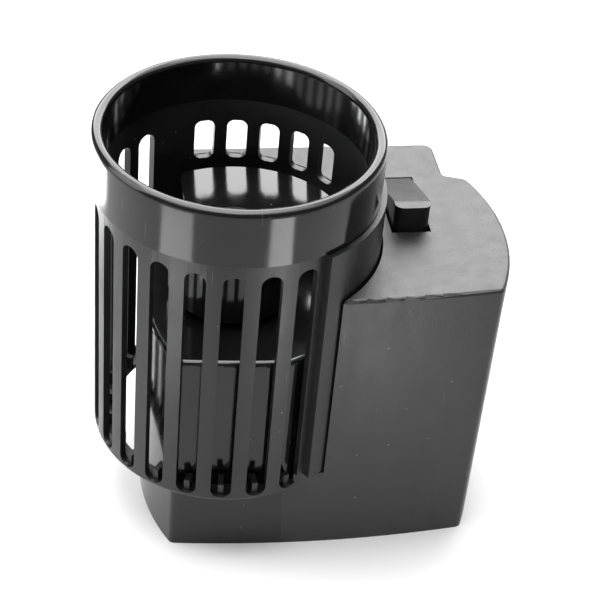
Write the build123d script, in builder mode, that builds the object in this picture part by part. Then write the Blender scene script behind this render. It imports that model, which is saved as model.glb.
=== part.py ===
from build123d import *

import os
from math import cos, radians, sin

# Wave maker pump, in millimetres.
# +Z runs up the propeller axis towards the outlet. The origin is on that axis, in the plane
# of the base. +X points to the holder block and +Y to the flat back that faces the glass.
# An azimuth is counted from -Y towards +X, in degrees.

os.makedirs("parts", exist_ok=True)

# ---------------------------------------------------------------- driving dimensions
# outlet ring and strainer
RIM_TOP = 68.5
RING_BOTTOM = 59.4
RING_R = 21.6
BORE_R = 19.7
CAGE_R = 21.0
CAGE_BORE_R = 19.9
CAGE_BOTTOM = 13.0
LAP_TOP = 61.0
FOOT_ROUND = 1.0
FOOT_R = 17.9
FOOT_HEIGHT = 0.9
GUSSET_WIDTH = 0.9
GUSSET_HEIGHT = 3.2
SLOT_WIDTH = 3.2
SLOT_TOP = 57.1
SLOT_BOTTOM = 14.1
SLOT_PITCH = 15.0
FIRST_TALL_SLOT = -142.5
TALL_SLOTS = 12
WINDOW_BOTTOM = 50.1
FIRST_WINDOW = 127.5
WINDOWS = 5
WINDOW_CORNER = 1.2
SHIELD_R = 22.4
SHIELD_FROM, SHIELD_TO = 30.0, 118.0
SHIELD_BOTTOM = 15.8
SHIELD_TOP = 59.1
SLIDE_GAP = 0.4

# housing: plan, neck and socket
BLOCK_X = 14.3
FRONT_HALF = 24.0
FRONT_CORNER_Y = -16.6
FRONT_Y = -18.0
SIDE_HALF = 27.8
SIDE_Y = -1.5
SIDE_END_HALF, SIDE_END_Y = 24.9, 12.6
SLAB_HALF = 21.3
SLAB_FRONT_Y = 13.8
BACK_Y = 22.8
CORNER_ROUNDS = [(FRONT_CORNER_Y, 1.2), (SIDE_END_Y, 1.8), (SLAB_FRONT_Y, 0.9), (BACK_Y, 1.6)]
EDGE_ROUND = 0.6
BLOCK_TOP = 50.0
BASE_TOP = 12.6
STEP_TOP = 15.5
NECK_R = 19.1
NECK_TOP = 38.4
NECK_ROUND = 0.8
SOCKET_R = 21.4
SHIELD_SOCKET_R = 22.75
SOCKET_FROM, SOCKET_TO = 27.0, 155.0
SOCKET_WALL_R = 24.6
WALL = 2.0
SEAM_X = 11.6

# rotor, bearings and well
SHAFT_R = 1.5
SHAFT_BOTTOM, SHAFT_TOP = 10.0, 46.0
RUNNING_GAP = 0.05
TUBE_R = 2.5
TUBE_BOTTOM, TUBE_TOP = 12.8, 49.0
MAGNET_R = 4.2
SLEEVE_R = 4.7
MAGNET_BOTTOM, MAGNET_TOP = 14.0, 30.0
CUP_R = 4.0
CUP_TOP = 12.2
WELL_R = 5.3
WELL_OUTER_R = 6.1
WELL_FLOOR = 9.0
WELL_TOP = 42.2
FLANGE_R = 8.2
FLANGE_TOP = 39.6
CAP_R = 7.4
CAP_TOP = 44.2
SPIGOT_BOTTOM = 40.0
BUSH_R = 3.5
SEAL_MINOR = 0.45
WASHER_R, WASHER_GAP = 3.4, 0.1
SLEEVE_END = 0.5

# propeller
BLADE_R = 17.4
BLADE_EDGE_X = -6.7
BLADE_TRAIL = 97.0
BLADE_CORNER = 2.0
BLADE_Z = 49.1
BLADE_THICKNESS = 1.5
BLADE_TILT_X, BLADE_TILT_Y = -2.5, -2.4
SKIRT_R, SKIRT_INNER_R = 9.7, 8.9
SKIRT_BOTTOM = 39.9
WEB_BOTTOM = 48.2
DISH_Z = 49.9
LIP_R, LIP_INNER_R, LIP_TOP = 5.2, 4.4, 51.2
HUB_BOTTOM = 44.9
COUNTERWEIGHT_FROM, COUNTERWEIGHT_TO = -75.0, 15.0
COUNTERWEIGHT_BOTTOM = 41.0

# stator
CORE_R, YOKE_R, TOOTH_TIP_R = 11.2, 9.8, 6.3
CORE_BOTTOM, CORE_TOP = 14.0, 30.0
TEETH = 6
TOOTH_WIDTH = 2.0
BOBBIN_WALL = 0.4
COIL_WALL = 0.9
SHOE_THICKNESS, SHOE_HALF_ANGLE = 0.6, 20.0
COIL_FROM, COIL_TO = 7.1, 9.4
RESIN_MARGIN = 1.0
CUTOUT_SIZE = (3.2, 1.6, 1.6)
SENSOR_WIDTH, SENSOR_LENGTH, SENSOR_THICKNESS = 1.6, 3.0, 0.9

# holder magnets and electronics in the block
MAGNET_X = 26.8
HOLDER_R = 5.8
HOLDER_Z = (18.6, 32.6)
HOLDER_FRONT_Y, HOLDER_BACK_Y = 15.2, 20.5
TRAY_X, TRAY_Z = (20.7, 33.2), (12.0, 39.2)
YOKE_THICKNESS = 1.5
BOARD_Y = -5.0
BOARD_X, BOARD_Z = (26.2, 38.4), (5.0, 40.0)
BOARD_THICKNESS = 1.6
BOARD_HOLDER_X, BOARD_HOLDER_TOP = (33.0, 37.4), 7.0
# x, z, radius and height above the board
ROUND_PARTS = [(31.5, 28.0, 3.4, 7.4), (35.6, 20.5, 2.2, 3.4)]
# x, z, width, length and height above the board
CONNECTOR = (30.0, 11.4, 5.4, 3.8, 3.6)
FLAT_PARTS = [(30.2, 19.6, 5.0, 5.0, 1.4), (29.2, 35.6, 3.2, 4.0, 1.5),
              (35.0, 35.6, 3.2, 4.0, 1.5), CONNECTOR]
LEADS_R = 0.8
LEADS_LEVEL = 3.7
LEADS_BEND = 2.4

# release catch
CATCH_LEFT, CATCH_RIGHT = 24.5, 30.1
CATCH_FRONT, CATCH_BACK = -1.3, 12.9
CATCH_HEIGHT = 4.3
CATCH_UNDER = 47.6
POCKET_FLOOR = 42.8
POCKET_GAP = 0.3
POCKET_WALL = 1.1
HOOK_ROOM_Y = -4.4
HOOK_STEP = 0.95
HOOK_STEP_BOTTOM = 46.8
PIN_Y, PIN_Z, PIN_R = 11.3, 48.7, 0.6
RAMP_TOP_Y = 0.8
LEG_BACK = 0.2
ARM_BOTTOM, ARM_TOP = 44.6, 45.7
TOOTH_FRONT, TOOTH_BACK, TOOTH_TOP = -3.9, -2.95, 47.3
CATCH_CORNER = 1.3
SPRING_WIDTH = 3.0
SPRING_THICKNESS = 0.35
SPRING_TIP_Y, SPRING_BEND_Y = 3.2, 10.4

# base and cable
COVER_THICKNESS = 1.6
COVER_GAP = 0.05
GASKET = 0.4
LEDGE_WIDTH, LEDGE_HEIGHT = 1.4, 1.2
BOSS_R = 2.6
SCREWS = [(-6.0, -13.3), (34.5, -13.1), (31.2, 18.6), (5.0, 18.6)]
SCREW_R, HEAD_R = 0.9, 1.8
SCREW_RECESS = 0.2
SCREW_TIP = 8.6
CROSS_WIDTH, CROSS_DEPTH = 0.4, 0.8
GLAND_Y, GLAND_Z, GLAND_R = 17.4, 6.5, 2.9
GLAND_LIP = 0.3
GLAND_OUTER, GLAND_INNER = 1.2, 0.9
GLAND_NOSE, GLAND_NOSE_R = 4.6, 2.2
CABLE_R = 1.75


def direction(azimuth):
    """Unit vector that points out of the axis at an azimuth."""
    return Vector(sin(radians(azimuth)), -cos(radians(azimuth)), 0)


def outward(azimuth):
    """Plane through the axis whose Z points out at an azimuth and whose Y points up."""
    across = Vector(cos(radians(azimuth)), sin(radians(azimuth)), 0)
    return Plane(origin=(0, 0, 0), x_dir=across, z_dir=direction(azimuth))


def sector(first, last, radius=60.0):
    """Pie slice of a plan between two azimuths, under half a turn."""
    start, middle, end = [direction(a) * radius for a in (first, (first + last) / 2, last)]
    with BuildSketch(mode=Mode.PRIVATE) as pie:
        with BuildLine():
            Line((0, 0), start)
            ThreePointArc(start, middle, end)
            Line(end, (0, 0))
        make_face()
    return pie.sketch


def housing_plan(inset=0.0):
    """Plan of the housing: bowed front and sides, and a narrower flat slab at the back."""
    corner = (BLOCK_X + FRONT_HALF, FRONT_CORNER_Y)
    side_end = (BLOCK_X + SIDE_END_HALF, SIDE_END_Y)
    slab_x = BLOCK_X + SLAB_HALF
    quarter_y = FRONT_CORNER_Y + (FRONT_Y - FRONT_CORNER_Y) * 0.75
    with BuildSketch(mode=Mode.PRIVATE) as plan:
        with BuildLine():
            ThreePointArc((BLOCK_X, FRONT_Y), (BLOCK_X + FRONT_HALF / 2, quarter_y), corner)
            ThreePointArc(corner, (BLOCK_X + SIDE_HALF, SIDE_Y), side_end)
            Polyline(side_end, (slab_x, SLAB_FRONT_Y), (slab_x, BACK_Y), (BLOCK_X, BACK_Y))
            mirror(about=Plane.YZ.offset(BLOCK_X))
        make_face()
        for corner_y, radius in CORNER_ROUNDS:
            row = plan.vertices().filter_by_position(Axis.Y, corner_y - 0.05, corner_y + 0.05)
            fillet([v for v in row if abs(v.X - BLOCK_X) > 1], radius)
        if inset:
            offset(amount=-inset, mode=Mode.REPLACE)
    return plan.sketch


def tube(outer, inner, bottom, top):
    """Plain ring about the axis."""
    with BuildPart(mode=Mode.PRIVATE) as ring:
        with BuildSketch(Plane.XY.offset(bottom)):
            Circle(outer)
            if inner:
                Circle(inner, mode=Mode.SUBTRACT)
        extrude(amount=top - bottom)
    return ring.part


# ---------------------------------------------------------------- outlet and strainer
with BuildPart() as outlet_ring:
    with BuildSketch(Plane.XZ):
        with BuildLine():
            round_r = (RING_R - BORE_R) / 2
            shoulder = RIM_TOP - round_r
            Polyline((CAGE_R, RING_BOTTOM), (RING_R, RING_BOTTOM), (RING_R, shoulder))
            ThreePointArc((RING_R, shoulder), (RING_R - round_r, RIM_TOP), (BORE_R, shoulder))
            Polyline((BORE_R, shoulder), (BORE_R, LAP_TOP), (CAGE_R, LAP_TOP),
                     (CAGE_R, RING_BOTTOM))
        make_face()
    revolve(axis=Axis.Z)
outlet_ring.part.label = "outlet_ring"
export_step(outlet_ring.part, "parts/outlet_ring.step")

with BuildPart() as strainer_cage:
    with BuildSketch(Plane.XZ) as cage_profile:
        Polygon((CAGE_BORE_R, CAGE_BOTTOM), (CAGE_R, CAGE_BOTTOM), (CAGE_R, LAP_TOP),
                (CAGE_BORE_R, LAP_TOP), align=None)
        fillet(cage_profile.vertices().sort_by(Axis.X)[-2:].sort_by(Axis.Y)[0], FOOT_ROUND)
    revolve(axis=Axis.Z)
    for step in range(TALL_SLOTS):
        with BuildSketch(outward(FIRST_TALL_SLOT + step * SLOT_PITCH)):
            with Locations((0, (SLOT_TOP + SLOT_BOTTOM) / 2)):
                RectangleRounded(SLOT_WIDTH, SLOT_TOP - SLOT_BOTTOM, SLOT_WIDTH * 0.49)
        extrude(amount=CAGE_R * 2, mode=Mode.SUBTRACT)
    for step in range(WINDOWS):
        with BuildSketch(outward(FIRST_WINDOW + step * SLOT_PITCH)):
            with Locations((0, (SLOT_TOP + WINDOW_BOTTOM) / 2)):
                RectangleRounded(SLOT_WIDTH, SLOT_TOP - WINDOW_BOTTOM, WINDOW_CORNER)
        extrude(amount=CAGE_R * 2, mode=Mode.SUBTRACT)
    # foot inside the lower edge, with a small gusset behind each slot
    add(tube(CAGE_BORE_R + 0.2, FOOT_R, CAGE_BOTTOM, CAGE_BOTTOM + FOOT_HEIGHT))
    for step in range(TALL_SLOTS):
        with BuildSketch(outward(FIRST_TALL_SLOT + step * SLOT_PITCH).offset(FOOT_R)):
            with Locations((0, CAGE_BOTTOM + GUSSET_HEIGHT / 2)):
                Rectangle(GUSSET_WIDTH, GUSSET_HEIGHT)
        extrude(amount=CAGE_R - FOOT_R - 0.6)
    # thicker blank wall beside the holder block
    with BuildSketch(Plane.XY.offset(SHIELD_BOTTOM)):
        Circle(SHIELD_R)
        Circle(CAGE_BORE_R + 0.4, mode=Mode.SUBTRACT)
        add(sector(SHIELD_FROM, SHIELD_TO), mode=Mode.INTERSECT)
    extrude(amount=SHIELD_TOP - SHIELD_BOTTOM)
    # the strainer stops higher where its socket in the block is shallower
    with BuildSketch():
        add(sector(SOCKET_FROM - 1, SOCKET_TO + 1))
    extrude(amount=SHIELD_BOTTOM, mode=Mode.SUBTRACT)
    # the foot leaves room for the motor neck
    with BuildSketch():
        add(housing_plan(-SLIDE_GAP))
        Circle(NECK_R + SLIDE_GAP, mode=Mode.INTERSECT)
    extrude(amount=NECK_TOP, mode=Mode.SUBTRACT)
strainer_cage.part.label = "strainer_cage"
export_step(strainer_cage.part, "parts/strainer_cage.step")

# ---------------------------------------------------------------- housing
catch_middle = (CATCH_LEFT + CATCH_RIGHT) / 2
pocket_width = CATCH_RIGHT - CATCH_LEFT + 2 * POCKET_GAP
pocket_back = CATCH_BACK + POCKET_GAP

with BuildPart() as casing:
    with BuildSketch():
        add(housing_plan())
    extrude(amount=BLOCK_TOP)
    fillet(casing.faces().sort_by(Axis.Z)[-1].edges(), EDGE_ROUND)
    # socket for the strainer, with the motor neck left standing in it
    with BuildSketch(Plane.XY.offset(BASE_TOP)):
        Circle(SOCKET_R)
        Circle(NECK_R, mode=Mode.SUBTRACT)
        add(sector(SOCKET_FROM, SOCKET_TO), mode=Mode.SUBTRACT)
    extrude(amount=BLOCK_TOP, mode=Mode.SUBTRACT)
    with BuildSketch(Plane.XY.offset(STEP_TOP)):
        Circle(SOCKET_R)
        Circle(NECK_R, mode=Mode.SUBTRACT)
        add(sector(SOCKET_FROM, SOCKET_TO), mode=Mode.INTERSECT)
    extrude(amount=BLOCK_TOP, mode=Mode.SUBTRACT)
    with BuildSketch(Plane.XY.offset(STEP_TOP)):
        Circle(SHIELD_SOCKET_R)
        Circle(NECK_R, mode=Mode.SUBTRACT)
        add(sector(SHIELD_FROM - 2, SHIELD_TO + 2), mode=Mode.INTERSECT)
    extrude(amount=BLOCK_TOP, mode=Mode.SUBTRACT)
    with BuildSketch(Plane.XY.offset(NECK_TOP)):
        Circle(NECK_R + 1)
    extrude(amount=BLOCK_TOP, mode=Mode.SUBTRACT)
    fillet(casing.faces().filter_by(Plane.XY).filter_by_position(
        Axis.Z, NECK_TOP, NECK_TOP).edges(), NECK_ROUND)
    # hollow inside: an open base, the motor neck and the holder block
    with BuildSketch():
        add(housing_plan(WALL))
    extrude(amount=BASE_TOP - WALL, mode=Mode.SUBTRACT)
    with BuildSketch():
        add(housing_plan(WALL))
        Circle(NECK_R - WALL, mode=Mode.INTERSECT)
    extrude(amount=NECK_TOP - WALL, mode=Mode.SUBTRACT)
    with BuildSketch():
        add(housing_plan(WALL))
        Circle(SOCKET_WALL_R, mode=Mode.SUBTRACT)
    extrude(amount=BLOCK_TOP - WALL, mode=Mode.SUBTRACT)
    # opening for the rotor well
    with BuildSketch(Plane.XY.offset(NECK_TOP - WALL)):
        Circle(WELL_OUTER_R)
    extrude(amount=WALL, mode=Mode.SUBTRACT)
    # pocket of the release catch
    with BuildSketch(Plane.XY.offset(POCKET_FLOOR - POCKET_WALL)):
        with Locations((catch_middle, (HOOK_ROOM_Y + pocket_back) / 2)):
            Rectangle(pocket_width + 2 * POCKET_WALL, pocket_back - HOOK_ROOM_Y + 2 * POCKET_WALL)
        Circle(SOCKET_WALL_R - 1, mode=Mode.SUBTRACT)
    extrude(amount=BLOCK_TOP - WALL / 2 - POCKET_FLOOR + POCKET_WALL)
    with BuildSketch(Plane.XY.offset(POCKET_FLOOR)):
        with Locations((catch_middle, (HOOK_ROOM_Y + pocket_back) / 2)):
            Rectangle(pocket_width, pocket_back - HOOK_ROOM_Y)
    extrude(amount=BLOCK_TOP - WALL - POCKET_FLOOR, mode=Mode.SUBTRACT)
    with BuildSketch(Plane.XY.offset(POCKET_FLOOR)):
        with Locations((catch_middle, (CATCH_FRONT - POCKET_GAP + pocket_back) / 2)):
            Rectangle(pocket_width, pocket_back - CATCH_FRONT + POCKET_GAP)
    extrude(amount=BLOCK_TOP, mode=Mode.SUBTRACT)
    # step under the pocket's front edge, which the catch's hook grips
    with BuildSketch(Plane.XY.offset(HOOK_STEP_BOTTOM)):
        with Locations((catch_middle, CATCH_FRONT - POCKET_GAP - HOOK_STEP / 2)):
            Rectangle(pocket_width, HOOK_STEP)
    extrude(amount=BLOCK_TOP - WALL / 2 - HOOK_STEP_BOTTOM)
    # holes for the catch's hinge pin
    with BuildSketch(Plane.YZ.offset(catch_middle)):
        with Locations((PIN_Y, PIN_Z)):
            Circle(PIN_R)
    extrude(amount=pocket_width / 2 + POCKET_WALL, both=True, mode=Mode.SUBTRACT)
    # ledge that the base gasket seals against
    with BuildSketch(Plane.XY.offset(COVER_THICKNESS + GASKET)):
        add(housing_plan(WALL / 2))
        add(housing_plan(WALL + LEDGE_WIDTH), mode=Mode.SUBTRACT)
    extrude(amount=LEDGE_HEIGHT)
    # screw bosses that stand on the base cover
    for x, y in SCREWS:
        with BuildSketch(Plane.XY.offset(COVER_THICKNESS + GASKET)):
            with Locations((x, y)):
                Circle(BOSS_R)
        extrude(amount=BASE_TOP - WALL / 2 - COVER_THICKNESS - GASKET)
        with BuildSketch(Plane.XY.offset(COVER_THICKNESS + GASKET)):
            with Locations((x, y)):
                Circle(SCREW_R)
        extrude(amount=BASE_TOP - 2 * WALL - COVER_THICKNESS, mode=Mode.SUBTRACT)
    # cable entry through the left end of the back slab
    with BuildSketch(Plane.YZ.offset(BLOCK_X - SIDE_HALF)):
        with Locations((GLAND_Y, GLAND_Z)):
            Circle(GLAND_R)
    extrude(amount=SIDE_HALF - SLAB_HALF + WALL + 1, mode=Mode.SUBTRACT)

with BuildPart(mode=Mode.PRIVATE) as front_corner:
    with BuildSketch():
        with Locations((SEAM_X, 0)):
            Rectangle(60, 60, align=(Align.MIN, Align.MAX))
        Circle(NECK_R + 1, mode=Mode.SUBTRACT)
    extrude(amount=BLOCK_TOP + 10)

with BuildPart() as motor_housing:
    add(casing.part)
    add(front_corner.part, mode=Mode.SUBTRACT)
motor_housing.part.label = "motor_housing"
export_step(motor_housing.part, "parts/motor_housing.step")

with BuildPart() as front_cover:
    add(casing.part)
    add(front_corner.part, mode=Mode.INTERSECT)
front_cover.part.label = "front_cover"
export_step(front_cover.part, "parts/front_cover.step")


# ---------------------------------------------------------------- base
with BuildPart() as base_cover:
    with BuildSketch():
        add(housing_plan(WALL + COVER_GAP))
    extrude(amount=COVER_THICKNESS)
    with BuildSketch():
        with Locations(*SCREWS):
            Circle(SCREW_R + 0.1)
    extrude(amount=COVER_THICKNESS, mode=Mode.SUBTRACT)
    # countersinks
    with BuildSketch():
        with Locations(*SCREWS):
            Circle(HEAD_R + SCREW_RECESS + COVER_GAP)
    extrude(amount=HEAD_R + SCREW_RECESS - SCREW_R, taper=45, mode=Mode.SUBTRACT)
base_cover.part.label = "base_cover"
export_step(base_cover.part, "parts/base_cover.step")

with BuildPart() as base_gasket:
    with BuildSketch(Plane.XY.offset(COVER_THICKNESS)):
        add(housing_plan(WALL + COVER_GAP))
        add(housing_plan(WALL + LEDGE_WIDTH), mode=Mode.SUBTRACT)
        with Locations(*SCREWS):
            Circle(SCREW_R + 0.1, mode=Mode.SUBTRACT)
    extrude(amount=GASKET)
base_gasket.part.label = "base_gasket"
export_step(base_gasket.part, "parts/base_gasket.step")

with BuildPart(mode=Mode.PRIVATE) as one_screw:
    with BuildSketch(Plane.XZ):
        Polygon((0, SCREW_RECESS), (HEAD_R, SCREW_RECESS), (SCREW_R, SCREW_RECESS + HEAD_R - SCREW_R),
                (SCREW_R, SCREW_TIP - 0.4), (0, SCREW_TIP), align=None)
    revolve(axis=Axis.Z)
    with BuildSketch():
        Rectangle(HEAD_R * 1.2, CROSS_WIDTH)
        Rectangle(CROSS_WIDTH, HEAD_R * 1.2)
    extrude(amount=SCREW_RECESS + CROSS_DEPTH, mode=Mode.SUBTRACT)

with BuildPart() as base_screws:
    with Locations(*SCREWS):
        add(one_screw.part)
base_screws.part.label = "base_screws"
export_step(base_screws.part, "parts/base_screws.step")

# ---------------------------------------------------------------- rotor well and shaft
with BuildPart() as rotor_well:
    with BuildSketch(Plane.XZ):
        Polygon((0, WELL_FLOOR - 1), (WELL_OUTER_R, WELL_FLOOR - 1),
                (WELL_OUTER_R, NECK_TOP + GASKET), (FLANGE_R, NECK_TOP + GASKET),
                (FLANGE_R, FLANGE_TOP), (CAP_R, FLANGE_TOP), (CAP_R, WELL_TOP),
                (WELL_R, WELL_TOP), (WELL_R, WELL_FLOOR), (0, WELL_FLOOR), align=None)
    revolve(axis=Axis.Z)
rotor_well.part.label = "rotor_well"
export_step(rotor_well.part, "parts/rotor_well.step")

with BuildPart() as well_gasket:
    add(tube(FLANGE_R - 0.2, WELL_OUTER_R, NECK_TOP, NECK_TOP + GASKET))
well_gasket.part.label = "well_gasket"
export_step(well_gasket.part, "parts/well_gasket.step")

with BuildPart() as shaft_cup:
    add(tube(CUP_R, 0, WELL_FLOOR, CUP_TOP))
    add(tube(SHAFT_R, 0, SHAFT_BOTTOM, CUP_TOP), mode=Mode.SUBTRACT)
    fillet(shaft_cup.edges().filter_by(GeomType.CIRCLE).sort_by(Axis.Z)[0], 0.3)
shaft_cup.part.label = "shaft_cup"
export_step(shaft_cup.part, "parts/shaft_cup.step")

with BuildPart() as ceramic_shaft:
    add(tube(SHAFT_R, 0, SHAFT_BOTTOM, SHAFT_TOP))
    chamfer(ceramic_shaft.edges().filter_by(GeomType.CIRCLE), 0.25)
ceramic_shaft.part.label = "ceramic_shaft"
export_step(ceramic_shaft.part, "parts/ceramic_shaft.step")

# ---------------------------------------------------------------- stator
with BuildPart() as stator_core:
    add(tube(CORE_R, YOKE_R, CORE_BOTTOM, CORE_TOP))
    for step in range(TEETH):
        azimuth = step * 360 / TEETH
        with BuildSketch(outward(azimuth).offset(TOOTH_TIP_R + SHOE_THICKNESS / 2)):
            with Locations((0, (CORE_BOTTOM + CORE_TOP) / 2)):
                Rectangle(TOOTH_WIDTH, CORE_TOP - CORE_BOTTOM)
        extrude(amount=(YOKE_R + CORE_R) / 2 - TOOTH_TIP_R - SHOE_THICKNESS / 2)
        with BuildSketch(Plane.XY.offset(CORE_BOTTOM)):
            Circle(TOOTH_TIP_R + SHOE_THICKNESS)
            Circle(TOOTH_TIP_R, mode=Mode.SUBTRACT)
            add(sector(azimuth - SHOE_HALF_ANGLE, azimuth + SHOE_HALF_ANGLE), mode=Mode.INTERSECT)
        extrude(amount=CORE_TOP - CORE_BOTTOM)
stator_core.part.label = "stator_core"
export_step(stator_core.part, "parts/stator_core.step")


def around_teeth(wall, inner_wall, first_r, last_r):
    """One closed frame around each stator tooth."""
    with BuildPart(mode=Mode.PRIVATE) as frames:
        for step in range(TEETH):
            with BuildSketch(outward(step * 360 / TEETH).offset(first_r)):
                with Locations((0, (CORE_BOTTOM + CORE_TOP) / 2)):
                    height = CORE_TOP - CORE_BOTTOM
                    RectangleRounded(TOOTH_WIDTH + 2 * wall, height + 2 * wall, wall * 0.45)
                    Rectangle(TOOTH_WIDTH + 2 * inner_wall, height + 2 * inner_wall,
                              mode=Mode.SUBTRACT)
            extrude(amount=last_r - first_r)
    return frames.part


with BuildPart() as coil_bobbins:
    add(around_teeth(BOBBIN_WALL, 0, COIL_FROM, COIL_TO))
coil_bobbins.part.label = "coil_bobbins"
export_step(coil_bobbins.part, "parts/coil_bobbins.step")

with BuildPart() as coil_windings:
    add(around_teeth(BOBBIN_WALL + COIL_WALL, BOBBIN_WALL, COIL_FROM + 0.2, COIL_TO - 0.2))
coil_windings.part.label = "coil_windings"
export_step(coil_windings.part, "parts/coil_windings.step")

with BuildPart() as potting_resin:
    with BuildSketch(Plane.XY.offset(CORE_BOTTOM - RESIN_MARGIN)):
        add(housing_plan(WALL))
        Circle(NECK_R - WALL, mode=Mode.INTERSECT)
        Circle(CORE_R, mode=Mode.SUBTRACT)
    extrude(amount=CORE_TOP - CORE_BOTTOM + 2 * RESIN_MARGIN)
potting_resin.part.label = "potting_resin"
export_step(potting_resin.part, "parts/potting_resin.step")

with BuildPart() as thermal_cutout:
    with Locations((0, -(COIL_FROM + COIL_TO) / 2, CORE_TOP + BOBBIN_WALL + COIL_WALL)):
        Box(*CUTOUT_SIZE, align=(Align.CENTER, Align.CENTER, Align.MIN))
    fillet(thermal_cutout.edges().filter_by(Axis.X).group_by(Axis.Z)[-1], 0.4)
thermal_cutout.part.label = "thermal_cutout"
export_step(thermal_cutout.part, "parts/thermal_cutout.step")

with BuildPart() as hall_sensor:
    with BuildSketch(outward(180 / TEETH).offset(WELL_OUTER_R)):
        with Locations((0, (CORE_BOTTOM + CORE_TOP) / 2)):
            Rectangle(SENSOR_WIDTH, SENSOR_LENGTH)
    extrude(amount=SENSOR_THICKNESS)
hall_sensor.part.label = "hall_sensor"
export_step(hall_sensor.part, "parts/hall_sensor.step")

# ---------------------------------------------------------------- electronics
board_face = BOARD_Y - BOARD_THICKNESS
with BuildPart() as driver_board:
    with Locations((BOARD_X[0], BOARD_Y, BOARD_Z[0])):
        Box(BOARD_X[1] - BOARD_X[0], BOARD_THICKNESS, BOARD_Z[1] - BOARD_Z[0],
            align=(Align.MIN, Align.MAX, Align.MIN))
    fillet(driver_board.edges().filter_by(Axis.Y), 0.8)
driver_board.part.label = "driver_board"
export_step(driver_board.part, "parts/driver_board.step")

with BuildPart() as board_holder:
    with BuildSketch(Plane.XY.offset(COVER_THICKNESS)):
        with Locations((BOARD_HOLDER_X[0], board_face + BOARD_THICKNESS / 2)):
            Rectangle(BOARD_HOLDER_X[1] - BOARD_HOLDER_X[0], 3 * BOARD_THICKNESS,
                      align=(Align.MIN, Align.CENTER))
    extrude(amount=BOARD_HOLDER_TOP - COVER_THICKNESS)
    with BuildSketch(Plane.XY.offset(BOARD_Z[0])):
        with Locations((BOARD_X[0], board_face + BOARD_THICKNESS / 2)):
            Rectangle(BOARD_X[1] - BOARD_X[0], BOARD_THICKNESS, align=(Align.MIN, Align.CENTER))
    extrude(amount=BOARD_HOLDER_TOP - BOARD_Z[0], mode=Mode.SUBTRACT)
board_holder.part.label = "board_holder"
export_step(board_holder.part, "parts/board_holder.step")

with BuildPart() as board_parts:
    for x, z, radius, height in ROUND_PARTS:
        with BuildSketch(Plane.XZ.offset(-board_face)):
            with Locations((x, z)):
                Circle(radius)
        extrude(amount=height)
    for x, z, width, tall, depth in FLAT_PARTS:
        with BuildSketch(Plane.XZ.offset(-board_face)):
            with Locations((x, z)):
                Rectangle(width, tall)
        extrude(amount=depth)
board_parts.part.label = "board_parts"
export_step(board_parts.part, "parts/board_parts.step")

# leads from under one coil, along the base, up to the board's connector
coil_end = direction(360 / TEETH) * ((COIL_FROM + COIL_TO) / 2)
coil_under = CORE_BOTTOM - BOBBIN_WALL - COIL_WALL
plug = (CONNECTOR[0], board_face - CONNECTOR[4] / 2)
with BuildPart() as coil_leads:
    with BuildLine() as lead_route:
        FilletPolyline((coil_end.X, coil_end.Y, coil_under), (coil_end.X, coil_end.Y, LEADS_LEVEL),
                       (*plug, LEADS_LEVEL), (*plug, CONNECTOR[1] - CONNECTOR[3] / 2),
                       radius=LEADS_BEND)
    with BuildSketch(Plane(origin=lead_route.line @ 0, z_dir=lead_route.line % 0)):
        Circle(LEADS_R)
    sweep()
coil_leads.part.label = "coil_leads"
export_step(coil_leads.part, "parts/coil_leads.step")

# ---------------------------------------------------------------- holder magnets
with BuildPart() as holder_magnets:
    with BuildSketch(Plane.XZ.offset(-HOLDER_FRONT_Y)):
        with Locations(*[(MAGNET_X, z) for z in HOLDER_Z]):
            Circle(HOLDER_R)
    extrude(amount=HOLDER_FRONT_Y - HOLDER_BACK_Y)
holder_magnets.part.label = "holder_magnets"
export_step(holder_magnets.part, "parts/holder_magnets.step")

with BuildPart() as magnet_tray:
    with BuildSketch(Plane.XZ.offset(-HOLDER_FRONT_Y)):
        with Locations(((TRAY_X[0] + TRAY_X[1]) / 2, (TRAY_Z[0] + TRAY_Z[1]) / 2)):
            RectangleRounded(TRAY_X[1] - TRAY_X[0], TRAY_Z[1] - TRAY_Z[0], 1.5)
        with Locations(*[(MAGNET_X, z) for z in HOLDER_Z]):
            Circle(HOLDER_R, mode=Mode.SUBTRACT)
    extrude(amount=HOLDER_FRONT_Y - HOLDER_BACK_Y)
magnet_tray.part.label = "magnet_tray"
export_step(magnet_tray.part, "parts/magnet_tray.step")

with BuildPart() as magnet_yoke:
    with Locations(((TRAY_X[0] + TRAY_X[1]) / 2, HOLDER_FRONT_Y, (TRAY_Z[0] + TRAY_Z[1]) / 2)):
        Box(TRAY_X[1] - TRAY_X[0] - 1, YOKE_THICKNESS, TRAY_Z[1] - TRAY_Z[0] - 1,
            align=(Align.CENTER, Align.MAX, Align.CENTER))
    fillet(magnet_yoke.edges().filter_by(Axis.Y), 1.0)
magnet_yoke.part.label = "magnet_yoke"
export_step(magnet_yoke.part, "parts/magnet_yoke.step")

# ---------------------------------------------------------------- cable gland
gland_origin = (BLOCK_X - SLAB_HALF, GLAND_Y, GLAND_Z)
with BuildPart() as cable_gland:
    with BuildSketch(Plane(origin=gland_origin, x_dir=(1, 0, 0), z_dir=(0, -1, 0))):
        rim = GLAND_R + GLAND_LIP
        Polygon((WALL + GLAND_INNER, CABLE_R), (WALL + GLAND_INNER, rim), (WALL, rim),
                (WALL, GLAND_R), (0, GLAND_R), (0, rim), (-GLAND_OUTER, rim),
                (-GLAND_OUTER, GLAND_R), (-GLAND_NOSE, GLAND_NOSE_R), (-GLAND_NOSE, CABLE_R),
                align=None)
    revolve(axis=Axis(gland_origin, (1, 0, 0)))
cable_gland.part.label = "cable_gland"
export_step(cable_gland.part, "parts/cable_gland.step")

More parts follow.
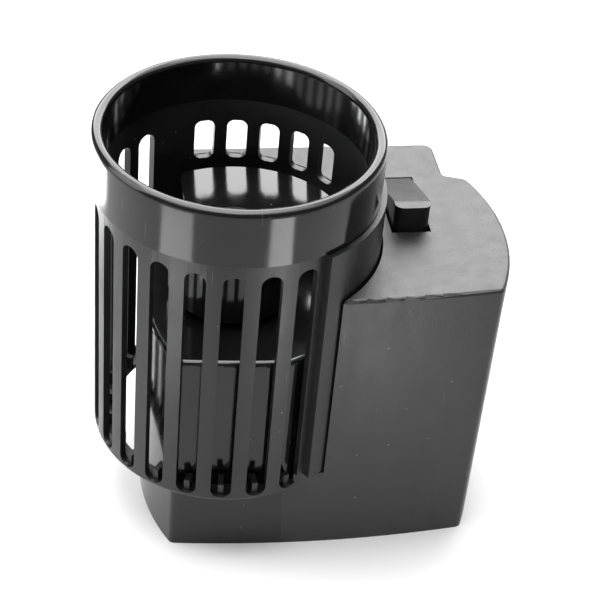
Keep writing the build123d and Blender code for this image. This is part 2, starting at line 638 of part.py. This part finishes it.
# ---------------------------------------------------------------- release catch
with BuildPart() as release_catch:
    with BuildSketch(Plane.YZ.offset(CATCH_LEFT)):
        Polygon((CATCH_BACK, CATCH_UNDER), (CATCH_BACK, BLOCK_TOP),
                (RAMP_TOP_Y, BLOCK_TOP + CATCH_HEIGHT), (CATCH_FRONT, BLOCK_TOP + CATCH_HEIGHT),
                (CATCH_FRONT, ARM_TOP), (TOOTH_BACK, ARM_TOP), (TOOTH_BACK, TOOTH_TOP),
                (TOOTH_FRONT, TOOTH_TOP), (TOOTH_FRONT, ARM_BOTTOM), (LEG_BACK, ARM_BOTTOM),
                (LEG_BACK, CATCH_UNDER), align=None)
        with Locations((PIN_Y, PIN_Z)):
            Circle(PIN_R + RUNNING_GAP, mode=Mode.SUBTRACT)
    extrude(amount=CATCH_RIGHT - CATCH_LEFT)
    # the two longest upright edges are the front corners of the raised end
    fillet(release_catch.edges().filter_by(Axis.Z).sort_by(SortBy.LENGTH)[-2:], CATCH_CORNER)
release_catch.part.label = "release_catch"
export_step(release_catch.part, "parts/release_catch.step")

with BuildPart() as catch_pin:
    with BuildSketch(Plane.YZ.offset(catch_middle)):
        with Locations((PIN_Y, PIN_Z)):
            Circle(PIN_R)
    extrude(amount=pocket_width / 2 + POCKET_WALL, both=True)
catch_pin.part.label = "catch_pin"
export_step(catch_pin.part, "parts/catch_pin.step")

# V-shaped leaf between the pocket's floor and the catch
with BuildPart() as catch_spring:
    with BuildSketch(Plane.YZ.offset(catch_middle)):
        with BuildLine():
            low, high = POCKET_FLOOR + SPRING_THICKNESS, CATCH_UNDER - SPRING_THICKNESS
            Polyline((SPRING_TIP_Y, POCKET_FLOOR), (SPRING_BEND_Y, POCKET_FLOOR),
                     (SPRING_BEND_Y + SPRING_THICKNESS, low), (SPRING_TIP_Y + 0.9, CATCH_UNDER),
                     (SPRING_TIP_Y, CATCH_UNDER), (SPRING_TIP_Y, high), (SPRING_TIP_Y + 0.7, high),
                     (SPRING_BEND_Y - SPRING_THICKNESS, low), (SPRING_TIP_Y, low),
                     (SPRING_TIP_Y, POCKET_FLOOR))
        make_face()
    extrude(amount=SPRING_WIDTH / 2, both=True)
catch_spring.part.label = "catch_spring"
export_step(catch_spring.part, "parts/catch_spring.step")

# ---------------------------------------------------------------- bearing cartridge
with BuildPart() as bearing_cap:
    with BuildSketch(Plane.XZ):
        spigot_r = WELL_R - RUNNING_GAP
        groove_r = spigot_r - 2 * SEAL_MINOR
        groove_z = (SPIGOT_BOTTOM + WELL_TOP) / 2
        Polygon((BUSH_R, SPIGOT_BOTTOM), (spigot_r, SPIGOT_BOTTOM),
                (spigot_r, groove_z - SEAL_MINOR), (groove_r, groove_z - SEAL_MINOR),
                (groove_r, groove_z + SEAL_MINOR), (spigot_r, groove_z + SEAL_MINOR),
                (spigot_r, WELL_TOP), (CAP_R, WELL_TOP), (CAP_R, CAP_TOP), (BUSH_R, CAP_TOP),
                align=None)
    revolve(axis=Axis.Z)
    chamfer(bearing_cap.edges().filter_by(GeomType.CIRCLE).group_by(Axis.Z)[-1]
            .sort_by(SortBy.RADIUS)[-1], 0.5)
bearing_cap.part.label = "bearing_cap"
export_step(bearing_cap.part, "parts/bearing_cap.step")

with BuildPart() as cap_seal:
    with BuildSketch(Plane.XZ):
        with Locations((spigot_r - SEAL_MINOR, groove_z)):
            Circle(SEAL_MINOR)
    revolve(axis=Axis.Z)
cap_seal.part.label = "cap_seal"
export_step(cap_seal.part, "parts/cap_seal.step")

with BuildPart() as front_bush:
    add(tube(BUSH_R, TUBE_R + RUNNING_GAP, SPIGOT_BOTTOM, CAP_TOP))
front_bush.part.label = "front_bush"
export_step(front_bush.part, "parts/front_bush.step")

# ---------------------------------------------------------------- rotor
with BuildPart() as drive_tube:
    add(tube(TUBE_R, SHAFT_R + RUNNING_GAP, TUBE_BOTTOM, TUBE_TOP))
drive_tube.part.label = "drive_tube"
export_step(drive_tube.part, "parts/drive_tube.step")

with BuildPart() as rotor_magnet:
    add(tube(MAGNET_R, TUBE_R, MAGNET_BOTTOM, MAGNET_TOP))
rotor_magnet.part.label = "rotor_magnet"
export_step(rotor_magnet.part, "parts/rotor_magnet.step")

with BuildPart() as magnet_sleeve:
    add(tube(SLEEVE_R, TUBE_R, MAGNET_BOTTOM - SLEEVE_END, MAGNET_TOP + SLEEVE_END))
    add(tube(MAGNET_R, 0, MAGNET_BOTTOM, MAGNET_TOP), mode=Mode.SUBTRACT)
magnet_sleeve.part.label = "magnet_sleeve"
export_step(magnet_sleeve.part, "parts/magnet_sleeve.step")

with BuildPart() as thrust_washers:
    add(tube(WASHER_R, SHAFT_R + RUNNING_GAP, CUP_TOP + WASHER_GAP, TUBE_BOTTOM))
    add(tube(WASHER_R, TUBE_R, CAP_TOP + WASHER_GAP, HUB_BOTTOM))
thrust_washers.part.label = "thrust_washers"
export_step(thrust_washers.part, "parts/thrust_washers.step")

with BuildPart(mode=Mode.PRIVATE) as blade:
    with BuildSketch(Plane.XY.offset(BLADE_Z).rotated((BLADE_TILT_X, BLADE_TILT_Y, 0))) as plan:
        reach = 2 * BLADE_R
        trail = direction(BLADE_TRAIL) * reach
        Polygon((BLADE_EDGE_X, 0), (BLADE_EDGE_X, reach), (reach, reach), (trail.X, trail.Y), (0, 0),
                align=None)
        Circle(BLADE_R, mode=Mode.INTERSECT)
        tips = [v for v in plan.vertices() if v.X ** 2 + v.Y ** 2 > (BLADE_R - 0.5) ** 2]
        fillet(tips, BLADE_CORNER)
        Circle(LIP_INNER_R + 0.4, mode=Mode.SUBTRACT)
    extrude(amount=BLADE_THICKNESS)

with BuildPart() as propeller:
    with BuildSketch(Plane.XZ):
        Polygon((TUBE_R, HUB_BOTTOM), (LIP_INNER_R, HUB_BOTTOM), (LIP_INNER_R, WEB_BOTTOM),
                (SKIRT_INNER_R, WEB_BOTTOM), (SKIRT_INNER_R, SKIRT_BOTTOM),
                (SKIRT_R, SKIRT_BOTTOM), (SKIRT_R, DISH_Z), (LIP_R, DISH_Z), (LIP_R, LIP_TOP),
                (LIP_INNER_R, LIP_TOP), (LIP_INNER_R, TUBE_TOP), (TUBE_R, TUBE_TOP), align=None)
    revolve(axis=Axis.Z)
    add(blade.part)
    # counterweight inside the skirt, opposite the single blade
    with BuildSketch(Plane.XY.offset(COUNTERWEIGHT_BOTTOM)):
        Circle((SKIRT_R + SKIRT_INNER_R) / 2)
        Circle(CAP_R + 0.5, mode=Mode.SUBTRACT)
        add(sector(COUNTERWEIGHT_FROM, COUNTERWEIGHT_TO), mode=Mode.INTERSECT)
    extrude(amount=WEB_BOTTOM - COUNTERWEIGHT_BOTTOM)
propeller.part.label = "propeller"
export_step(propeller.part, "parts/propeller.step")

with BuildPart() as hub_cap:
    add(tube(LIP_INNER_R - 0.5, 0, TUBE_TOP, TUBE_TOP + 1.3))
    fillet(hub_cap.edges().filter_by(GeomType.CIRCLE).sort_by(Axis.Z)[-1], 0.8)
hub_cap.part.label = "hub_cap"
export_step(hub_cap.part, "parts/hub_cap.step")
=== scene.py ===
from math import pi, radians

import bmesh
import bpy
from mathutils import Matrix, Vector


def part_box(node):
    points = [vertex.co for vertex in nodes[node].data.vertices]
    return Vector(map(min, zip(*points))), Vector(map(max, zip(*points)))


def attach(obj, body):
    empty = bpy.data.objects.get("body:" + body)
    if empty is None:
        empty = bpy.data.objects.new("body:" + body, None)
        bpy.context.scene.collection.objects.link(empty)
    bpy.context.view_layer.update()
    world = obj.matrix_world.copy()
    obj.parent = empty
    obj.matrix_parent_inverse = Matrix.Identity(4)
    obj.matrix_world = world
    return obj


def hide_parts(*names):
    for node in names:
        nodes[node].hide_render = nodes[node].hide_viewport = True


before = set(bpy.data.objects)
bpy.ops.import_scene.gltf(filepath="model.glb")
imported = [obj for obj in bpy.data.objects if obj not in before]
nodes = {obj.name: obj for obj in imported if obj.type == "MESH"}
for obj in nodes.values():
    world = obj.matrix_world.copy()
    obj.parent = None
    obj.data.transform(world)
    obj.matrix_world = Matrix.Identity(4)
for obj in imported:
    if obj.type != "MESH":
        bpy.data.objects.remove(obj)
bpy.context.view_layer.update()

MM = 0.001

# features of moulded plastic, in millimetres
MOTTLE_SIZE, MOTTLE_HEIGHT = 9, 0.2
GRAIN_SIZE, GRAIN_HEIGHT = 0.18, 0.05
SMEAR_SIZE = 2.5
DUST_SPACING, DUST_SIZE, DUST_HEIGHT = 2.2, 0.13, 0.03
# (spacing, width, length, turn in radians) of each set of scratches
SCRATCHES = ((0.9, 0.05, 1.6, 0.5), (1.1, 0.045, 2.2, 2.1))

MOTTLE_BUMP = 0.05
DUST_BUMP = 0.3
DUST_COLOUR = (0.33, 0.34, 0.34, 1)
DUST_SHARE = (0.55, 0.6)  # cells whose random value is below the first hold no dot
DOT_CORE = 0.6  # share of a dot's radius that is solid
LINE_CORE = 0.5  # share of a scratch's width that is solid
LINE_TILT = (1, 0.6, 1.7)  # turns about the three axes
SCRATCH_STRENGTH = 0.3  # against the dust's
SMEAR_STRETCH = (1, 1, 0.35)
NOISE_RANGE = (0.3, 0.7)  # where nearly all of a noise texture's values lie
SOFT_DETAIL, MIXED_DETAIL, BUSY_DETAIL = 2, 4, 5

# name: dark, light, lowest and highest roughness, grain, dust and, where it isn't usual, gloss
MOULDED = {
    "ring_plastic": ((0.004, 0.004, 0.0043), (0.007, 0.007, 0.0075), 0.09, 0.15, 0.02, 0.5, 0.36),
    "cage_plastic": ((0.006, 0.006, 0.0066), (0.011, 0.011, 0.012), 0.28, 0.4, 0.3, 0.7, 0.36),
    "housing_plastic": ((0.007, 0.007, 0.0076), (0.013, 0.013, 0.014), 0.34, 0.46, 0.4, 0.6, 0.42),
    "catch_plastic": ((0.007, 0.007, 0.0076), (0.012, 0.012, 0.013), 0.3, 0.42, 0.35, 0.4, 0.42),
    "propeller_plastic": ((0.004, 0.004, 0.0043), (0.007, 0.007, 0.0075), 0.08, 0.14, 0.02, 0.4, 0.4),
    "inner_plastic": ((0.012, 0.012, 0.013), (0.02, 0.02, 0.021), 0.25, 0.4, 0.2, 0.3),
    "bearing_plastic": ((0.6, 0.58, 0.52), (0.72, 0.7, 0.64), 0.35, 0.5, 0.2, 0.1),
    "component_plastic": ((0.012, 0.012, 0.013), (0.02, 0.02, 0.02), 0.4, 0.55, 0.4, 0.2),
    "rubber": ((0.012, 0.012, 0.012), (0.022, 0.022, 0.021), 0.6, 0.75, 0.6, 0.5),
    "resin": ((0.01, 0.01, 0.011), (0.016, 0.016, 0.017), 0.15, 0.3, 0.1, 0.2),
    "ferrite": ((0.03, 0.03, 0.033), (0.05, 0.05, 0.052), 0.5, 0.65, 0.6, 0.2),
    "ceramic": ((0.72, 0.72, 0.69), (0.8, 0.8, 0.78), 0.18, 0.3, 0.1, 0.1),
    "board": ((0.01, 0.09, 0.035), (0.015, 0.14, 0.06), 0.25, 0.35, 0.2, 0.2),
}

# name: colour, roughness, and the stretch that makes its streaks
METALS = {
    "steel": ((0.6, 0.6, 0.61), 0.28, (1, 1, 0.1)),
    "laminations": ((0.3, 0.3, 0.31), 0.45, (0.02, 0.02, 1)),
    "copper": ((0.62, 0.25, 0.09), 0.35, (0.05, 0.05, 1)),
    "magnet_metal": ((0.7, 0.7, 0.72), 0.2, (1, 0.1, 1)),
}
STREAK_SIZE = 0.3  # mm
STREAK_CONTRAST = 0.2
STREAK_BUMP, STREAK_HEIGHT = 0.15, 0.02

# rounded copies of the outer pieces
MERGE_DISTANCE = 0.002  # mm
FLAT_ANGLE = radians(0.6)
BEVEL_ANGLE = radians(32)
SHARP_ANGLE = radians(34)
BEVEL_SEGMENTS = 3
NECK_REACH = 1.2  # radius taken as the motor neck, over the rotor well's width

FLOOR_HALF = 3  # m
FLOOR_PATCH, FLOOR_DETAIL = 60, 3  # mm, and octaves of noise
FLOOR_DARK, FLOOR_LIGHT, FLOOR_ROUGHNESS = (0.88, 0.88, 0.88), (0.92, 0.92, 0.92), 0.6
WORLD_STRENGTH = 0.28
CAMERA_PLACE = (-0.0315, -0.20111, 0.19845)  # m
CAMERA_TURN = (51.5654, -4.377, -8.5342)  # degrees
CAMERA_LENS, CAMERA_SENSOR = 99.6, 36  # mm
CAMERA_NEAR = 0.01  # m


# ---------------------------------------------------------------- materials
def shader(name, base, roughness, **inputs):
    """A principled material and its node tree."""
    mat = bpy.data.materials.new(name)
    mat.use_nodes = True
    tree = mat.node_tree
    bsdf = tree.nodes["Principled BSDF"]
    bsdf.inputs["Base Color"].default_value = (*base, 1)
    bsdf.inputs["Roughness"].default_value = roughness
    for key, value in inputs.items():
        bsdf.inputs[key.replace("_", " ")].default_value = value
    return mat, tree, bsdf


def place_coords(tree, scale=(1, 1, 1), turn=(0, 0, 0)):
    """Object coordinates, in metres, turned and stretched."""
    coords = tree.nodes.new("ShaderNodeTexCoord")
    mapping = tree.nodes.new("ShaderNodeMapping")
    mapping.inputs["Rotation"].default_value = turn
    mapping.inputs["Scale"].default_value = scale
    tree.links.new(coords.outputs["Object"], mapping.inputs["Vector"])
    return mapping.outputs["Vector"]


def spread(tree, value, from_low, from_high, to_low, to_high):
    """Maps one range onto another, clamped."""
    node = tree.nodes.new("ShaderNodeMapRange")
    node.inputs["From Min"].default_value = from_low
    node.inputs["From Max"].default_value = from_high
    node.inputs["To Min"].default_value = to_low
    node.inputs["To Max"].default_value = to_high
    tree.links.new(value, node.inputs["Value"])
    return node.outputs["Result"]


def noise(tree, size, detail, stretch=(1, 1, 1)):
    """Noise from 0 to 1 whose features measure size millimetres."""
    texture = tree.nodes.new("ShaderNodeTexNoise")
    texture.inputs["Scale"].default_value = 1 / (size * MM)
    texture.inputs["Detail"].default_value = detail
    tree.links.new(place_coords(tree, stretch), texture.inputs["Vector"])
    return spread(tree, texture.outputs["Fac"], *NOISE_RANGE, 0, 1)


def combine(tree, operation, first, second):
    """Arithmetic on two values, each a number or a socket."""
    node = tree.nodes.new("ShaderNodeMath")
    node.operation = operation
    for socket, value in zip(node.inputs, (first, second)):
        if isinstance(value, float):
            socket.default_value = value
        else:
            tree.links.new(value, socket)
    return node.outputs["Value"]


def tint(tree, factor, dark, light):
    """Colour between dark and light."""
    node = tree.nodes.new("ShaderNodeMix")
    node.data_type = "RGBA"
    node.inputs["A"].default_value = (*dark, 1)
    node.inputs["B"].default_value = (*light, 1)
    tree.links.new(factor, node.inputs["Factor"])
    return node.outputs["Result"]


def cell_pattern(tree, spacing, vector):
    """Voronoi cells whose centres are spacing millimetres apart."""
    cells = tree.nodes.new("ShaderNodeTexVoronoi")
    cells.inputs["Scale"].default_value = 1 / (spacing * MM)
    tree.links.new(vector, cells.inputs["Vector"])
    return cells


def specks(tree, spacing, size):
    """Scattered dots of dust, 1 on a dot."""
    cells = cell_pattern(tree, spacing, place_coords(tree))
    edge = size / spacing
    dots = spread(tree, cells.outputs["Distance"], edge * DOT_CORE, edge, 1, 0)
    some = tree.nodes.new("ShaderNodeSeparateColor")
    tree.links.new(cells.outputs["Color"], some.inputs["Color"])
    return combine(tree, "MULTIPLY", dots, spread(tree, some.outputs["Red"], *DUST_SHARE, 0, 1))


def hairlines(tree, spacing, width, length, turn):
    """Short straight scratches in one direction, 1 on a scratch."""
    along = width / length
    vector = place_coords(tree, (1, along, along), [turn * tilt for tilt in LINE_TILT])
    cells = cell_pattern(tree, spacing, vector)
    edge = width / spacing
    return spread(tree, cells.outputs["Distance"], edge * LINE_CORE, edge, 1, 0)


def bump(tree, bsdf, layers):
    """Stacks (height, strength, depth in millimetres) layers of bump."""
    normal = None
    for height, strength, depth in layers:
        node = tree.nodes.new("ShaderNodeBump")
        node.inputs["Strength"].default_value = strength
        node.inputs["Distance"].default_value = depth * MM
        tree.links.new(height, node.inputs["Height"])
        if normal:
            tree.links.new(normal, node.inputs["Normal"])
        normal = node.outputs["Normal"]
    tree.links.new(normal, bsdf.inputs["Normal"])


def moulded(name, dark, light, rough_low, rough_high, grain, dust, gloss=0.5):
    """Moulded plastic: mottled colour and gloss, fine grain, hairline scratches and dust."""
    mat, tree, bsdf = shader(name, dark, rough_low, Specular_IOR_Level=gloss)
    mottle = noise(tree, MOTTLE_SIZE, MIXED_DETAIL)
    dots = combine(tree, "MULTIPLY", specks(tree, DUST_SPACING, DUST_SIZE), dust)
    lines = combine(tree, "MAXIMUM", *[hairlines(tree, *scratch) for scratch in SCRATCHES])
    faint = combine(tree, "MULTIPLY", lines, dust * SCRATCH_STRENGTH)
    worn = combine(tree, "MAXIMUM", dots, faint)
    plain = tree.nodes.new("ShaderNodeMix")
    plain.data_type = "RGBA"
    plain.inputs["B"].default_value = DUST_COLOUR
    tree.links.new(worn, plain.inputs["Factor"])
    tree.links.new(tint(tree, mottle, dark, light), plain.inputs["A"])
    tree.links.new(plain.outputs["Result"], bsdf.inputs["Base Color"])
    smear = noise(tree, SMEAR_SIZE, BUSY_DETAIL, SMEAR_STRETCH)
    tree.links.new(spread(tree, smear, 0, 1, rough_low, rough_high), bsdf.inputs["Roughness"])
    fine = noise(tree, GRAIN_SIZE, SOFT_DETAIL)
    bump(tree, bsdf, [(fine, grain, GRAIN_HEIGHT), (mottle, MOTTLE_BUMP, MOTTLE_HEIGHT),
                      (worn, DUST_BUMP, DUST_HEIGHT)])
    return mat


def metal(name, base, roughness, stretch):
    """Brushed or drawn metal with streaks along the stretched direction."""
    mat, tree, bsdf = shader(name, base, roughness, Metallic=1.0)
    streaks = noise(tree, STREAK_SIZE, MIXED_DETAIL, stretch)
    low, high = 1 - STREAK_CONTRAST, 1 + STREAK_CONTRAST
    tree.links.new(tint(tree, streaks, [c * low for c in base], base), bsdf.inputs["Base Color"])
    tree.links.new(spread(tree, streaks, 0, 1, roughness * low, roughness * high),
                   bsdf.inputs["Roughness"])
    bump(tree, bsdf, [(streaks, STREAK_BUMP, STREAK_HEIGHT)])
    return mat


materials = {name: moulded(name, *look) for name, look in MOULDED.items()}
materials.update({name: metal(name, *look) for name, look in METALS.items()})
for node in nodes.values():
    for place in node.material_slots:
        place.material = materials[place.material.name]


# ---------------------------------------------------------------- outer pieces with worn edges
def softened(node, body, slot, width):
    """A copy of a moulded piece whose sharp edges are rounded over by width millimetres."""
    shape = bmesh.new()
    shape.from_mesh(nodes[node].data)
    bmesh.ops.remove_doubles(shape, verts=shape.verts, dist=MERGE_DISTANCE * MM)
    bmesh.ops.dissolve_limit(shape, angle_limit=FLAT_ANGLE, verts=shape.verts, edges=shape.edges)
    mesh = bpy.data.meshes.new(node + "_rounded")
    shape.to_mesh(mesh)
    shape.free()
    for layer in [a for a in mesh.attributes if a.name == "custom_normal"]:
        mesh.attributes.remove(layer)
    mesh.materials.clear()
    mesh.materials.append(materials[slot])
    piece = bpy.data.objects.new(node + "_rounded", mesh)
    bpy.context.scene.collection.objects.link(piece)
    bevel = piece.modifiers.new("edges", "BEVEL")
    bevel.width = width * MM
    bevel.segments = BEVEL_SEGMENTS
    bevel.limit_method = "ANGLE"
    bevel.angle_limit = BEVEL_ANGLE
    bevel.miter_outer = "MITER_ARC"
    bevel.use_clamp_overlap = True
    piece.data = bpy.data.meshes.new_from_object(
        piece.evaluated_get(bpy.context.evaluated_depsgraph_get()))
    piece.modifiers.clear()
    piece.data.polygons.foreach_set("use_smooth", [True] * len(piece.data.polygons))
    piece.data.set_sharp_from_angle(angle=SHARP_ANGLE)
    flatten = piece.modifiers.new("even_shading", "WEIGHTED_NORMAL")
    flatten.keep_sharp = True
    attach(piece, body)
    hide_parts(node)
    return piece


softened("strainer_cage", "outlet", "cage_plastic", 0.22)
housing = softened("motor_housing", "root", "housing_plastic", 0.2)
softened("front_cover", "root", "housing_plastic", 0.2)
softened("release_catch", "catch", "catch_plastic", 0.3)
softened("propeller", "rotor", "propeller_plastic", 0.15)

# the motor neck inside the strainer is polished
cage_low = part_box("strainer_cage")[0]
neck_radius = nodes["rotor_well"].dimensions.x * NECK_REACH
housing.data.materials.append(materials["propeller_plastic"])
for face in housing.data.polygons:
    if face.center.xy.length < neck_radius and face.center.z > cage_low.z:
        face.material_index = 1


# ---------------------------------------------------------------- floor, light and camera
def stage_floor():
    """A plain pale floor, slightly uneven in tone."""
    mesh = bpy.data.meshes.new("floor")
    shape = bmesh.new()
    bmesh.ops.create_grid(shape, x_segments=1, y_segments=1, size=FLOOR_HALF)
    shape.to_mesh(mesh)
    shape.free()
    floor = bpy.data.objects.new("floor", mesh)
    bpy.context.scene.collection.objects.link(floor)
    mat, tree, bsdf = shader("pale_floor", FLOOR_LIGHT, FLOOR_ROUGHNESS)
    patches = noise(tree, FLOOR_PATCH, FLOOR_DETAIL)
    tree.links.new(tint(tree, patches, FLOOR_DARK, FLOOR_LIGHT), bsdf.inputs["Base Color"])
    mesh.materials.append(mat)


def soft_light(name, place, target, size, radiance, gloss_only=False):
    """Rectangular soft light, hidden from the camera, with place and target in millimetres."""
    data = bpy.data.lights.new(name, "AREA")
    data.shape = "RECTANGLE"
    data.size, data.size_y = [length * MM for length in size]
    data.energy = radiance * pi * data.size * data.size_y
    light = bpy.data.objects.new(name, data)
    light.location = Vector(place) * MM
    light.rotation_euler = (Vector(target) - Vector(place)).to_track_quat("-Z", "Y").to_euler()
    light.visible_camera = False
    light.visible_diffuse = not gloss_only
    bpy.context.scene.collection.objects.link(light)


def studio():
    """Two softboxes, the glare they leave on the block's top, and the ring's soft bands."""
    middle, ring = (10, 0, 30), (0, 0, 55)
    soft_light("top_softbox", (-100, 100, 1000), middle, (900, 900), 6)
    soft_light("left_softbox", (-800, 100, 450), middle, (500, 700), 4)
    soft_light("ceiling_glare", (0, 100, 900), middle, (1800, 1300), 3.5, gloss_only=True)
    soft_light("back_glare", (150, 700, 560), middle, (1300, 620), 8, gloss_only=True)
    soft_light("left_band", (-52, -48, 16), ring, (30, 28), 5, gloss_only=True)
    soft_light("right_band", (31, -70, 16), ring, (22, 28), 7, gloss_only=True)
    soft_light("left_glow", (-66, 70, 24), ring, (64, 44), 9, gloss_only=True)
    world = bpy.data.worlds.new("studio")
    world.use_nodes = True
    background = world.node_tree.nodes["Background"]
    background.inputs["Color"].default_value = (1, 1, 1, 1)
    background.inputs["Strength"].default_value = WORLD_STRENGTH
    bpy.context.scene.world = world


def camera():
    """A long lens from above the strainer's front, a little to its left."""
    data = bpy.data.cameras.new("camera")
    data.lens = CAMERA_LENS
    data.sensor_width = CAMERA_SENSOR
    data.clip_start = CAMERA_NEAR
    view = bpy.data.objects.new("camera", data)
    view.location = CAMERA_PLACE
    view.rotation_euler = [radians(a) for a in CAMERA_TURN]
    bpy.context.scene.collection.objects.link(view)
    bpy.context.scene.camera = view


stage_floor()
studio()
camera()
bpy.context.scene.view_settings.view_transform = "Standard"
